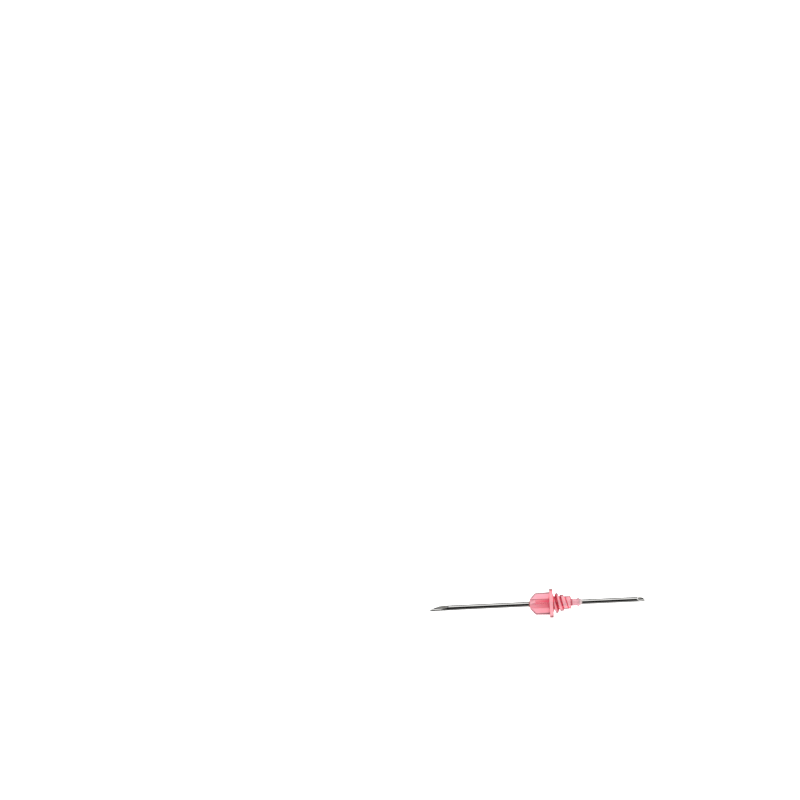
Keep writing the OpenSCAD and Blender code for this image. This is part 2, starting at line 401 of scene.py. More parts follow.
def mottle_group():
    """Slow unevenness of a colour and of a roughness, for every finish of the needle."""
    if "Mottle" in bpy.data.node_groups:
        return bpy.data.node_groups["Mottle"]
    tree, w, given, out = shader_group(
        "Mottle",
        [
            ("Vector", "NodeSocketVector", None),
            ("Scale", "NodeSocketFloat", 800.0),
            ("Colour", "NodeSocketColor", (0.8, 0.8, 0.8, 1)),
            ("Darker", "NodeSocketFloat", 0.05),
            ("Roughness", "NodeSocketFloat", 0.2),
            ("Rougher", "NodeSocketFloat", 0.05),
        ],
        [("Colour", "NodeSocketColor"), ("Roughness", "NodeSocketFloat")],
    )
    noise = w.node("ShaderNodeTexNoise")
    w.feed(noise.inputs["Vector"], given.outputs["Vector"])
    w.feed(noise.inputs["Scale"], given.outputs["Scale"])
    noise.inputs["Detail"].default_value = 3.0
    spread = w.sum("MULTIPLY", noise.outputs["Fac"], given.outputs["Darker"])
    bright = w.sum("SUBTRACT", 1.0, spread)
    scaled = w.node("ShaderNodeVectorMath", operation="SCALE")
    w.feed(scaled.inputs[0], given.outputs["Colour"])
    w.feed(scaled.inputs["Scale"], bright)
    w.feed(out.inputs["Colour"], scaled.outputs[0])
    extra = w.sum("MULTIPLY", noise.outputs["Fac"], given.outputs["Rougher"])
    w.feed(out.inputs["Roughness"], w.sum("ADD", given.outputs["Roughness"], extra))
    return tree


def streaks_group():
    """Fine parallel marks, as a height: stretched along one direction of the needle's own axes."""
    if "Streaks" in bpy.data.node_groups:
        return bpy.data.node_groups["Streaks"]
    tree, w, given, out = shader_group(
        "Streaks",
        [
            ("Vector", "NodeSocketVector", None),
            ("Across", "NodeSocketFloat", 40000.0),
            ("Along", "NodeSocketFloat", 400.0),
        ],
        [("Height", "NodeSocketFloat")],
    )
    size = w.node("ShaderNodeCombineXYZ")
    w.feed(size.inputs["X"], given.outputs["Across"])
    w.feed(size.inputs["Y"], given.outputs["Across"])
    w.feed(size.inputs["Z"], given.outputs["Along"])
    stretched = w.node("ShaderNodeVectorMath", operation="MULTIPLY")
    w.feed(stretched.inputs[0], given.outputs["Vector"])
    w.feed(stretched.inputs[1], size.outputs[0])
    noise = w.node("ShaderNodeTexNoise")
    w.feed(noise.inputs["Vector"], stretched.outputs[0])
    noise.inputs["Scale"].default_value = 1.0
    noise.inputs["Detail"].default_value = 2.0
    w.feed(out.inputs["Height"], noise.outputs["Fac"])
    return tree


def needle_axes(w, places):
    """Object coordinates turned into the needle's own axes, in metres."""
    coordinates = w.node("ShaderNodeTexCoord")
    mapping = w.node("ShaderNodeMapping", vector_type="POINT")
    tilt = math.atan2(places.lay_down[2][2], places.lay_down[0][2])
    mapping.inputs["Rotation"].default_value = (0.0, -(math.pi / 2 - tilt), 0.0)
    mapping.inputs["Location"].default_value = places.lay_down.inverted().translation / MM
    w.feed(mapping.inputs["Vector"], coordinates.outputs["Object"])
    return mapping.outputs["Vector"]


def depth_group():
    """Depth: 1 where plastic lies deep below a spot, and painted shade in the thread's grooves, in the crease
    at the thread's foot and the spigot's base, and in the core's corner at the flange. Edge: 1 along the outer
    edges of the fins, a painted dark outline, with painted shade at the spigot's base and grey towards its end.

    Round: 1 on the round surfaces, where a painted dark outline may show. Groove: painted shade, 1 in the
    thread's first groove, less in the later ones."""
    if "Depth" in bpy.data.node_groups:
        return bpy.data.node_groups["Depth"]
    tree, w, given, out = shader_group(
        "Depth",
        [
            ("Vector", "NodeSocketVector", None),
            ("Normal", "NodeSocketVector", None),
            ("Front", "NodeSocketFloat", 0.0254),
            ("Bend", "NodeSocketFloat", 0.0268),
            ("Flange", "NodeSocketFloat", 0.0303),
            ("Thread", "NodeSocketFloat", 0.0312),
            ("Spigot", "NodeSocketFloat", 0.0357),
            ("Face", "NodeSocketFloat", 0.00128),
            ("Fin", "NodeSocketFloat", 0.00273),
            ("Fin at flange", "NodeSocketFloat", 0.00285),
            ("Root", "NodeSocketFloat", 0.00145),
            ("Crest", "NodeSocketFloat", 0.0026),
            ("Last crest", "NodeSocketFloat", 0.00162),
            ("Full", "NodeSocketFloat", 0.0319),
            ("Tapered", "NodeSocketFloat", 0.0346),
        ],
        [
            ("Depth", "NodeSocketFloat"),
            ("Edge", "NodeSocketFloat"),
            ("Round", "NodeSocketFloat"),
            ("Groove", "NodeSocketFloat"),
        ],
    )
    size = given.outputs

    def ramp(value, low, high, to_low=0.0, to_high=1.0):
        made = w.node("ShaderNodeMapRange", clamp=True, interpolation_type="SMOOTHSTEP")
        for label, number in (
            ("Value", value),
            ("From Min", low),
            ("From Max", high),
            ("To Min", to_low),
            ("To Max", to_high),
        ):
            w.feed(made.inputs[label], number)
        return made.outputs[0]

    split = w.node("ShaderNodeSeparateXYZ")
    w.feed(split.inputs[0], size["Vector"])
    x, y, z = split.outputs
    outward = w.node("ShaderNodeCombineXYZ")
    w.feed(outward.inputs["X"], x)
    w.feed(outward.inputs["Y"], y)
    length = w.node("ShaderNodeVectorMath", operation="LENGTH")
    w.feed(length.inputs[0], outward.outputs[0])
    radius = length.outputs["Value"]
    direction = w.node("ShaderNodeVectorMath", operation="NORMALIZE")
    w.feed(direction.inputs[0], outward.outputs[0])
    facing = w.node("ShaderNodeVectorMath", operation="DOT_PRODUCT")
    w.feed(facing.inputs[0], direction.outputs[0])
    w.feed(facing.inputs[1], size["Normal"])
    on_fins = w.sum("LESS_THAN", z, w.sum("SUBTRACT", size["Flange"], 2e-5))
    outer = w.sum("MULTIPLY", ramp(facing.outputs["Value"], 0.72, 0.98), on_fins)
    along = ramp(z, size["Front"], size["Flange"], 0.45, 1.0)
    far_out = ramp(radius, 0.0014, 0.002, 0.65, 1.0)
    end_on = w.sum("MULTIPLY", w.sum("MULTIPLY", outer, along), far_out)
    behind = w.sum("GREATER_THAN", z, w.sum("SUBTRACT", size["Thread"], 1e-5))
    on_thread = w.sum("MULTIPLY", behind, w.sum("LESS_THAN", z, size["Spigot"]))
    crest = ramp_line(w, z, size["Full"], size["Tapered"], size["Crest"], size["Last crest"])
    height = w.sum("SUBTRACT", crest, size["Root"])
    raised = w.sum("DIVIDE", w.sum("SUBTRACT", radius, size["Root"]), height)
    # The thread's grooves get painted shade: the thick colour here and, through Groove, more shade below.
    in_groove = w.sum("MULTIPLY", ramp(raised, 0.2, 0.8, 1.0, 0.0), on_thread)
    # Painted shade in the crease at the spigot's base and at the thread's foot.
    off_base = w.sum("ABSOLUTE", w.sum("SUBTRACT", z, w.sum("ADD", size["Spigot"], 1e-4)))
    at_base = ramp(off_base, 1e-4, 3e-4, 1.0, 0.0)
    off_foot = w.sum("ABSOLUTE", w.sum("SUBTRACT", z, w.sum("ADD", size["Thread"], 1e-4)))
    at_foot = ramp(off_foot, 1e-4, 2.5e-4, 1.0, 0.0)
    low = w.sum("LESS_THAN", radius, 0.00262)
    crease_shade = w.sum("MULTIPLY", w.sum("ADD", at_base, at_foot), low)
    # Painted shade in the core's corner against the flange's front face.
    near_flange = w.sum("MULTIPLY", ramp(z, w.sum("SUBTRACT", size["Flange"], 3.5e-4), size["Flange"]), on_fins)
    core = ramp(radius, 0.0014, 0.0018, 1.0, 0.25)
    corner = w.sum("MULTIPLY", near_flange, core)
    depth = w.sum("ADD", w.sum("ADD", in_groove, end_on), w.sum("ADD", crease_shade, corner))
    w.feed(out.inputs["Depth"], depth)
    # Groove: painted shade, strongest in the first groove and fading over the taper.
    first = ramp(z, size["Full"], size["Tapered"], 1.0, 0.4)
    w.feed(out.inputs["Groove"], w.sum("MULTIPLY", in_groove, first))
    # Round: where a painted dark outline may show, off the fins and grooves, and on the fins' outer faces.
    off_fins = w.sum("SUBTRACT", w.sum("SUBTRACT", 1.0, on_fins), in_groove)
    off_fins = w.sum("MULTIPLY", off_fins, ramp(facing.outputs["Value"], 0.33, 0.62))
    w.feed(out.inputs["Round"], w.sum("MAXIMUM", off_fins, outer))
    drafted = ramp_line(w, z, size["Bend"], size["Flange"], size["Fin"], size["Fin at flange"])
    chamfer = ramp_line(w, z, size["Front"], size["Bend"], size["Face"], size["Fin"])
    reach = w.sum("MINIMUM", drafted, chamfer)
    inside = w.sum("SUBTRACT", reach, radius)
    wider = ramp(z, w.sum("SUBTRACT", size["Bend"], 3e-4), w.sum("ADD", size["Bend"], 3e-4), 1.7, 1.0)
    narrowed = w.sum("DIVIDE", inside, wider)
    # Painted dark outline along the outer edges of the fins, where they are seen from the side.
    edge = w.sum("MULTIPLY", ramp(narrowed, 1.4e-4, 3.4e-4, 1.0, 0.0), on_fins)
    fin_outline_shade = w.sum("MULTIPLY", edge, ramp(facing.outputs["Value"], 0.3, 0.6, 1.0, 0.0))
    fin_outline_shade = w.sum("MULTIPLY", fin_outline_shade, ramp(radius, 0.0013, 0.0016))
    # The rim colour greys the spigot towards its end, and paints shade at the spigot's base.
    to_end = ramp(w.sum("SUBTRACT", z, size["Spigot"]), 1.1e-3, 2e-3, 0.0, 0.22)
    step = w.sum("MULTIPLY", w.sum("MULTIPLY", at_base, low), 0.3)
    w.feed(out.inputs["Edge"], w.sum("MAXIMUM", fin_outline_shade, w.sum("MAXIMUM", to_end, step)))
    return tree


def ramp_line(w, value, low, high, to_low, to_high):
    """A straight line through two points, held level outside them."""
    made = w.node("ShaderNodeMapRange", clamp=True)
    for label, number in (
        ("Value", value),
        ("From Min", low),
        ("From Max", high),
        ("To Min", to_low),
        ("To Max", to_high),
    ):
        w.feed(made.inputs[label], number)
    return made.outputs[0]


def new_finish(name, places, tint, roughness, mottle, streaks=None, bump=0.0):
    """A Principled material with the shared unevenness. Returns it with its wiring and shader."""
    material = bpy.data.materials.new(name)
    material.use_nodes = True
    tree = material.node_tree
    tree.nodes.clear()
    w = Wiring(tree)
    shader = w.node("ShaderNodeBsdfPrincipled")
    output = w.node("ShaderNodeOutputMaterial")
    w.feed(output.inputs["Surface"], shader.outputs["BSDF"])
    axes = needle_axes(w, places)
    uneven = w.node("ShaderNodeGroup", node_tree=mottle_group())
    w.feed(uneven.inputs["Vector"], axes)
    uneven.inputs["Scale"].default_value = mottle[0]
    uneven.inputs["Colour"].default_value = (*tint, 1)
    uneven.inputs["Darker"].default_value = mottle[1]
    uneven.inputs["Roughness"].default_value = roughness
    uneven.inputs["Rougher"].default_value = mottle[2]
    w.feed(shader.inputs["Base Color"], uneven.outputs["Colour"])
    w.feed(shader.inputs["Roughness"], uneven.outputs["Roughness"])
    if streaks:
        marks = w.node("ShaderNodeGroup", node_tree=streaks_group())
        w.feed(marks.inputs["Vector"], axes)
        marks.inputs["Across"].default_value = streaks[0]
        marks.inputs["Along"].default_value = streaks[1]
        relief = w.node("ShaderNodeBump")
        relief.inputs["Strength"].default_value = bump
        relief.inputs["Distance"].default_value = 2e-6
        w.feed(relief.inputs["Height"], marks.outputs["Height"])
        w.feed(shader.inputs["Normal"], relief.outputs["Normal"])
    return material, w, shader, output


def drawn_steel(places, settings):
    material, _, shader, _ = new_finish(
        "Drawn steel",
        places,
        settings.steel,
        settings.roughness,
        (900.0, 0.06, 0.05),
        (30000.0, 250.0),
        0.35,
    )
    shader.inputs["Metallic"].default_value = 1.0
    return material


def ground_steel(places, settings):
    material, _, shader, _ = new_finish(
        "Ground steel",
        places,
        settings.ground,
        settings.ground_roughness,
        (2500.0, 0.1, 0.08),
        (1500.0, 26000.0),
        0.6,
    )
    shader.inputs["Metallic"].default_value = 1.0
    return material


def lumen_steel(places, settings):
    """Drawn over a mandrel and left dull, so it scatters part of the light."""
    material, _, shader, _ = new_finish(
        "Lumen steel",
        places,
        settings.inner,
        0.4,
        (2500.0, 0.1, 0.08),
        (20000.0, 500.0),
        0.4,
    )
    shader.inputs["Metallic"].default_value = 0.4
    return material


def clear_finish(name, places, tint, roughness, clearness, mottle, streaks=None, bump=0.0):
    """A plastic or adhesive that lets light through."""
    material, w, shader, output = new_finish(
        name, places, tint, roughness, mottle, streaks, bump
    )
    shader.inputs["Transmission Weight"].default_value = clearness
    shader.inputs["IOR"].default_value = 1.5
    return material, w, shader, output


def pink_plastic(places, settings, thread):
    material, w, shader, output = clear_finish(
        "Pink plastic",
        places,
        settings.skin,
        settings.roughness,
        settings.clearness,
        (500.0, 0.06, 0.06),
        (9000.0, 500.0),
        0.25,
    )
    mapping = w.tree.nodes["Mapping"]
    geometry = w.node("ShaderNodeNewGeometry")
    normal = w.node("ShaderNodeMapping", vector_type="VECTOR")
    normal.inputs["Rotation"].default_value = mapping.inputs["Rotation"].default_value
    w.feed(normal.inputs["Vector"], geometry.outputs["Normal"])
    depth = w.node("ShaderNodeGroup", node_tree=depth_group())
    w.feed(depth.inputs["Vector"], mapping.outputs["Vector"])
    w.feed(depth.inputs["Normal"], normal.outputs["Vector"])
    for label, value in (
        ("Front", places.front),
        ("Bend", places.front + mm(settings.chamfer)),
        ("Flange", places.flange),
        ("Thread", places.thread),
        ("Spigot", places.spigot),
        ("Face", mm(settings.face) / 2),
        ("Fin", mm(settings.fin_front) / 2),
        ("Fin at flange", mm(settings.fin_rear) / 2),
        ("Root", mm(thread.root) / 2),
        ("Crest", mm(thread.crest) / 2),
        ("Last crest", mm(thread.end_crest) / 2),
        ("Full", places.thread + mm(thread.full)),
        ("Tapered", places.thread + mm(thread.full) + mm(thread.taper)),
    ):
        depth.inputs[label].default_value = value / MM
    grazing = w.node("ShaderNodeLayerWeight")
    grazing.inputs["Blend"].default_value = 0.5
    skimmed = w.node("ShaderNodeMapRange", clamp=True)
    w.feed(skimmed.inputs["Value"], grazing.outputs["Facing"])
    skimmed.inputs["From Min"].default_value = 0.5
    skimmed.inputs["From Max"].default_value = 0.8
    # The thick colour shows where plastic is deep, where it is seen edge on, and as painted shade from the
    # Depth mask.
    deep = w.node("ShaderNodeMath", operation="MAXIMUM", use_clamp=True)
    w.feed(deep.inputs[0], depth.outputs["Depth"])
    w.feed(deep.inputs[1], skimmed.outputs[0])
    shade = w.node("ShaderNodeMix", data_type="RGBA")
    w.feed(shade.inputs[0], deep.outputs[0])
    shade.inputs[6].default_value = (*settings.skin, 1)
    shade.inputs[7].default_value = (*settings.deep, 1)
    # Painted dark outlines: the rim colour replaces the plastic's colour along the Edge mask and where round
    # surfaces are seen edge on.
    outline = w.node("ShaderNodeMapRange", clamp=True)
    w.feed(outline.inputs["Value"], grazing.outputs["Facing"])
    outline.inputs["From Min"].default_value = 0.4
    outline.inputs["From Max"].default_value = 0.62
    dull = w.node("ShaderNodeMath", operation="MAXIMUM", use_clamp=True)
    w.feed(dull.inputs[0], depth.outputs["Edge"])
    w.feed(dull.inputs[1], w.sum("MULTIPLY", depth.outputs["Round"], outline.outputs[0]))
    outlined_colour = w.node("ShaderNodeMix", data_type="RGBA")
    w.feed(outlined_colour.inputs[0], dull.outputs[0])
    # Painted shade in the thread's grooves: up to 60% less bright where seen edge on.
    groove_shade = w.sum("MULTIPLY", depth.outputs["Groove"], outline.outputs[0])
    groove_shaded = w.node("ShaderNodeVectorMath", operation="SCALE")
    w.feed(groove_shaded.inputs[0], shade.outputs[2])
    w.feed(groove_shaded.inputs["Scale"], w.sum("SUBTRACT", 1.0, w.sum("MULTIPLY", groove_shade, 0.6)))
    w.feed(outlined_colour.inputs[6], groove_shaded.outputs[0])
    outlined_colour.inputs[7].default_value = (*settings.rim, 1)
    uneven = shader.inputs["Base Color"].links[0].from_node
    w.feed(uneven.inputs["Colour"], outlined_colour.outputs[2])
    dye = w.node("ShaderNodeVolumeAbsorption")
    dye.inputs["Color"].default_value = (*settings.dye, 1)
    dye.inputs["Density"].default_value = settings.dye_strength
    w.feed(output.inputs["Volume"], dye.outputs["Volume"])
    return material


def set_adhesive(name, places, tint, settings, clearness):
    material, _, _, _ = clear_finish(
        name, places, tint, settings.roughness, clearness, (1500.0, 0.12, 0.1), (3000.0, 3000.0), 0.3
    )
    return material


# Steel tube


def cut_away(bm, point, normal):
    """Cuts a closed shell with a plane, drops what lies on the normal's side and closes the cut."""
    everything = bm.verts[:] + bm.edges[:] + bm.faces[:]
    bmesh.ops.bisect_plane(
        bm, geom=everything, dist=1e-6, plane_co=point, plane_no=normal, clear_outer=True
    )
    rim = [e for e in bm.edges if e.is_boundary]
    bmesh.ops.triangle_fill(bm, edges=rim, use_beauty=True, use_dissolve=False)


def grind_point(bm, tip_z, inward, radius, bevel, turned, settings):
    """Grinds one lancet point: the main bevel and a side grind on each side of it.

    inward is +1 for a point that looks towards -z and -1 for one that looks towards +z."""
    slope = 2 * radius / bevel
    side_reach = radius * math.cos(settings.grind_turn)
    planes = [
        (0.0, radius, slope),
        (settings.grind_turn, side_reach, slope * settings.grind_steepness),
        (-settings.grind_turn, side_reach, slope * settings.grind_steepness),
    ]
    for offset, reach, steep in planes:
        a = turned + offset
        out = Vector((math.cos(a), math.sin(a), 0))
        normal = -out - Vector((0, 0, inward * steep))
        cut_away(bm, out * reach + Vector((0, 0, tip_z)), normal.normalized())


class NEEDLE_OT_tube(bpy.types.Operator):
    """Build the steel tube with a lancet point at each end"""

    bl_idname = "needle.build_tube"
    bl_label = "Steel tube"

    def execute(self, context):
        settings = context.scene.needle_tube
        places = Places(context.scene)
        over = 1.0
        profile = [
            (places.lumen_r, -over),
            (places.tube_r, -over),
            (places.tube_r, places.total + over),
            (places.lumen_r, places.total + over),
            (places.lumen_r, -over),
        ]
        shell = ring_surface(lathe_rows(profile, 160), "tube shell")
        bm = bmesh.new()
        bm.from_mesh(shell)
        bpy.data.meshes.remove(shell)
        bmesh.ops.remove_doubles(bm, verts=bm.verts, dist=1e-5)
        grind_point(
            bm, 0.0, 1, places.tube_r, mm(settings.patient_bevel), settings.point_turn, settings
        )
        grind_point(
            bm,
            places.total,
            -1,
            places.tube_r,
            mm(settings.rear_bevel),
            settings.rear_turn,
            settings,
        )
        bm.normal_update()
        for face in bm.faces:
            middle = face.calc_center_median()
            inward = face.normal.x * middle.x + face.normal.y * middle.y < 0
            face.material_index = 1 if abs(face.normal.z) > 0.05 else 2 * inward
        mesh = closed_mesh(bm, "steel_tube", places.lay_down, sharp=14.0)
        put_in_scene(
            mesh,
            "cannula",
            "tube_steel",
            drawn_steel(places, settings),
            ground_steel(places, settings),
            lumen_steel(places, settings),
        )
        return {"FINISHED"}


# Hub


SECTOR_STEPS = 72  # points round one fin's share of the hub


def fin_half_section(reach, inset, hub):
    """Half of one fin's share of the section, from the fin's middle round to the next core arc."""
    core = mm(hub.core) / 2 - inset
    half = mm(hub.fin_thickness) / 2 - inset
    fillet = mm(hub.fillet) + inset
    reach = reach - inset
    fillet_x = math.sqrt((core + fillet) ** 2 - (half + fillet) ** 2)
    rounding = min(0.07, 0.4 * (reach - math.hypot(fillet_x, half)))
    corner = (math.sqrt((reach - rounding) ** 2 - (half - rounding) ** 2), half - rounding)
    corner_turn = math.atan2(corner[1], corner[0])
    points = []
    for k in range(4):
        a = corner_turn * k / 4
        points.append((reach * math.cos(a), reach * math.sin(a)))
    for k in range(6):
        a = corner_turn + (math.pi / 2 - corner_turn) * k / 6
        points.append((corner[0] + rounding * math.cos(a), corner[1] + rounding * math.sin(a)))
    for k in range(8):
        points.append((corner[0] + (fillet_x - corner[0]) * k / 8, half))
    centre = (fillet_x, half + fillet)
    touch_turn = math.atan2(centre[1], centre[0])
    start, end = -math.pi / 2, touch_turn - math.pi
    for k in range(6):
        a = start + (end - start) * k / 6
        points.append((centre[0] + fillet * math.cos(a), centre[1] + fillet * math.sin(a)))
    last = math.pi / hub.fin_count
    for k in range(13):
        a = touch_turn + (last - touch_turn) * k / 12
        points.append((core * math.cos(a), core * math.sin(a)))
    return points


def fin_sector_row(z, reach, hub, inset=0.0):
    half = fin_half_section(reach, inset, hub)
    return [(x, -y, z) for x, y in reversed(half)] + [(x, y, z) for x, y in half[1:]]


def circle_sector_row(z, radius, hub):
    last = math.pi / hub.fin_count
    turns = [last * (2 * k / SECTOR_STEPS - 1) for k in range(SECTOR_STEPS + 1)]
    return [(radius * math.cos(a), radius * math.sin(a), z) for a in turns]


def fin_sector_mesh(places, hub):
    """One fin with its share of the core, the front face and the flange's front face, as an open patch."""
    front, flange = places.front, places.flange
    face_r, bend_r, root_r = mm(hub.face) / 2, mm(hub.fin_front) / 2, mm(hub.fin_rear) / 2
    bend = front + mm(hub.chamfer)
    edge, soft = 0.05, 0.16

    def reach_at(z):
        if z <= bend:
            return face_r + (bend_r - face_r) * (z - front) / (bend - front)
        return bend_r + (root_r - bend_r) * (z - bend) / (flange - bend)

    def softened(z):
        if abs(z - bend) >= soft:
            return reach_at(z)
        t = (z - bend + soft) / (2 * soft)
        a, b, c = reach_at(bend - soft), reach_at(bend), reach_at(bend + soft)
        return (1 - t) ** 2 * a + 2 * t * (1 - t) * b + t * t * c

    rows = [circle_sector_row(front, mm(hub.front_well) / 2 + 0.02, hub)]
    for k in range(5):
        a = math.pi / 2 * k / 4
        z = front + edge * (1 - math.cos(a))
        rows.append(fin_sector_row(z, softened(z), hub, edge * (1 - math.sin(a))))
    stops = list(np.linspace(front + edge + 0.06, bend - soft, 9))
    stops += list(np.linspace(bend - soft, bend + soft, 9))[1:]
    stops += list(np.linspace(bend + soft, flange, 12))[1:]
    rows += [fin_sector_row(float(z), softened(float(z)), hub) for z in stops]
    rows.append(circle_sector_row(flange, places.flange_r - mm(hub.flange_edge), hub))
    count = SECTOR_STEPS + 1
    faces = [
        (r * count + k, r * count + k + 1, (r + 1) * count + k + 1, (r + 1) * count + k)
        for r in range(len(rows) - 1)
        for k in range(SECTOR_STEPS)
    ]
    mesh = bpy.data.meshes.new("fin sector")
    mesh.from_pydata([p for row in rows for p in row], [], faces)
    return mesh


def fins_tree():
    """Repeats one fin's patch round the axis and joins the copies edge to edge."""
    tree, w, given, out = new_geometry_tree(
        "Fins round the core",
        [
            ("Fins", "NodeSocketInt"),
            ("Join within", "NodeSocketFloat"),
            ("Finish", "NodeSocketMaterial"),
        ],
    )
    spots = w.node("GeometryNodeMeshLine")
    w.feed(spots.inputs["Count"], given.outputs["Fins"])
    spots.inputs["Offset"].default_value = (0, 0, 0)
    index = w.node("GeometryNodeInputIndex")
    step = w.sum("DIVIDE", 2 * math.pi, given.outputs["Fins"])
    turned = w.node("ShaderNodeCombineXYZ")
    w.feed(turned.inputs["Z"], w.sum("MULTIPLY", index.outputs[0], step))
    copies = w.node("GeometryNodeInstanceOnPoints")
    w.feed(copies.inputs["Points"], spots.outputs["Mesh"])
    w.feed(copies.inputs["Instance"], given.outputs["Geometry"])
    w.feed(copies.inputs["Rotation"], turned.outputs[0])
    real = w.node("GeometryNodeRealizeInstances")
    w.feed(real.inputs["Geometry"], copies.outputs["Instances"])
    joined = w.node("GeometryNodeMergeByDistance")
    w.feed(joined.inputs["Geometry"], real.outputs["Geometry"])
    w.feed(joined.inputs["Distance"], given.outputs["Join within"])
    finish = w.node("GeometryNodeSetMaterial")
    w.feed(finish.inputs["Geometry"], joined.outputs["Geometry"])
    w.feed(finish.inputs["Material"], given.outputs["Finish"])
    w.feed(out.inputs["Geometry"], finish.outputs["Geometry"])
    return tree


def hub_lathe_profile(places, hub, thread):
    """Radius and height from the flange's front edge, over the boss and spigot, and back through the bore."""
    edge, chamfer = mm(hub.flange_edge), mm(hub.boss_chamfer)
    rim, root = places.flange_r - edge, mm(thread.root) / 2
    flange, back, spigot, end = places.flange, places.thread, places.spigot, places.end
    profile = arc(rim, flange + edge, edge, -90, 0, 6)
    profile += [(places.flange_r, z) for z in np.linspace(flange + edge, back - edge, 6)[1:-1]]
    profile += arc(rim, back - edge, edge, 0, 90, 6)
    profile += [(mm(thread.crest) / 2 + 0.1, back)]
    profile += [(root, float(z)) for z in np.arange(back, spigot - chamfer, 0.03)]
    profile += arc(root - chamfer, spigot - chamfer, chamfer, 0, 90, 5)
    wide, barb, barb_z = mm(hub.spigot_wide) / 2, mm(hub.barb) / 2, end - mm(hub.barb_long)
    long = mm(hub.barb_long)
    profile += arc(wide + 0.06, spigot + 0.06, 0.06, -90, -180, 4)
    profile += [(wide, z) for z in np.linspace(spigot + 0.3, barb_z - 0.05, 4)]
    profile += [(wide + 0.01, barb_z), (barb - 0.03, barb_z + long / 4 - 0.03)]
    profile += [(barb, barb_z + long / 4 + 0.02), (barb, barb_z + long / 2 - 0.03)]
    profile += [(barb - 0.02, barb_z + long / 2 + 0.03)]
    tail = mm(hub.spigot_end) / 2
    profile += arc(tail - 0.03, end - 0.03, 0.03, 10, 90, 3)
    profile += [(mm(hub.rear_well) / 2, end)]
    profile += [(places.bore_r, end - mm(hub.rear_well_deep))]
    profile += [(places.bore_r, places.front + mm(hub.front_well_deep))]
    profile += [(mm(hub.front_well) / 2, places.front + 0.02)]
    profile += [(mm(hub.front_well) / 2 + 0.02, places.front)]
    return profile


def thread_tree():
    """Raises the ridges of a tapered screw thread on a lathed boss."""
    tree, w, given, out = new_geometry_tree(
        "Tapered screw thread",
        [
            ("Thread place", "NodeSocketFloat"),
            ("Boss length", "NodeSocketFloat"),
            ("Root radius", "NodeSocketFloat"),
            ("Crest radius", "NodeSocketFloat"),
            ("Last crest radius", "NodeSocketFloat"),
            ("Lead", "NodeSocketFloat"),
            ("Starts", "NodeSocketInt"),
            ("Crest width", "NodeSocketFloat"),
            ("Flank slope", "NodeSocketFloat"),
            ("Full height length", "NodeSocketFloat"),
            ("Taper length", "NodeSocketFloat"),
            ("Sunk start", "NodeSocketFloat"),
            ("First start turn", "NodeSocketFloat"),
            ("Rounding", "NodeSocketFloat"),
            ("Finish", "NodeSocketMaterial"),
        ],
    )
    size = given.outputs
    place = w.node("GeometryNodeInputPosition")
    split = w.node("ShaderNodeSeparateXYZ")
    w.feed(split.inputs[0], place.outputs[0])
    x, y, z = split.outputs
    height = w.sum("SUBTRACT", z, size["Thread place"])
    angle = w.sum("ARCTAN2", y, x)
    from_start = w.sum("SUBTRACT", angle, size["First start turn"])
    climbed = w.sum("MULTIPLY", w.sum("DIVIDE", from_start, 2 * math.pi), size["Lead"])
    along = w.sum("SUBTRACT", w.sum("ADD", height, size["Sunk start"]), climbed)
    pitch = w.sum("DIVIDE", size["Lead"], size["Starts"])
    half_pitch = w.sum("DIVIDE", pitch, 2.0)
    off_ridge = w.sum("WRAP", along, half_pitch, w.sum("MULTIPLY", half_pitch, -1.0))
    ridge_height = w.sum("SUBTRACT", height, off_ridge)
    taper = w.node("ShaderNodeMapRange", clamp=True)
    w.feed(taper.inputs["Value"], ridge_height)
    w.feed(taper.inputs["From Min"], size["Full height length"])
    w.feed(
        taper.inputs["From Max"], w.sum("ADD", size["Full height length"], size["Taper length"])
    )
    w.feed(taper.inputs["To Min"], size["Crest radius"])
    w.feed(taper.inputs["To Max"], size["Last crest radius"])
    crest = taper.outputs[0]
    half_crest = w.sum("MULTIPLY", size["Crest width"], 0.5)
    down_flank = w.sum("SUBTRACT", w.sum("ABSOLUTE", off_ridge), half_crest)
    fall = w.sum("DIVIDE", down_flank, size["Flank slope"])
    flank = w.sum("SUBTRACT", size["Crest radius"], fall)
    ridge = w.sum("SMOOTH_MIN", crest, flank, size["Rounding"])
    radius = w.sum("SMOOTH_MAX", size["Root radius"], ridge, size["Rounding"])
    level = w.sum("SQRT", w.sum("ADD", w.sum("MULTIPLY", x, x), w.sum("MULTIPLY", y, y)))
    grow = w.sum("DIVIDE", radius, level)
    moved = w.node("ShaderNodeCombineXYZ")
    w.feed(moved.inputs["X"], w.sum("MULTIPLY", x, grow))
    w.feed(moved.inputs["Y"], w.sum("MULTIPLY", y, grow))
    w.feed(moved.inputs["Z"], z)
    behind = w.sum("GREATER_THAN", height, -0.001)
    before = w.sum("LESS_THAN", height, size["Boss length"])
    on_root = w.sum("COMPARE", level, size["Root radius"], 0.002)
    picked = w.sum("MULTIPLY", w.sum("MULTIPLY", behind, before), on_root)
    raised = w.node("GeometryNodeSetPosition")
    w.feed(raised.inputs["Geometry"], size["Geometry"])
    w.feed(raised.inputs["Selection"], picked)
    w.feed(raised.inputs["Position"], moved.outputs[0])
    real = w.node("GeometryNodeRealizeInstances")
    w.feed(real.inputs["Geometry"], raised.outputs["Geometry"])
    finish = w.node("GeometryNodeSetMaterial")
    w.feed(finish.inputs["Geometry"], real.outputs["Geometry"])
    w.feed(finish.inputs["Material"], size["Finish"])
    w.feed(out.inputs["Geometry"], finish.outputs["Geometry"])
    return tree


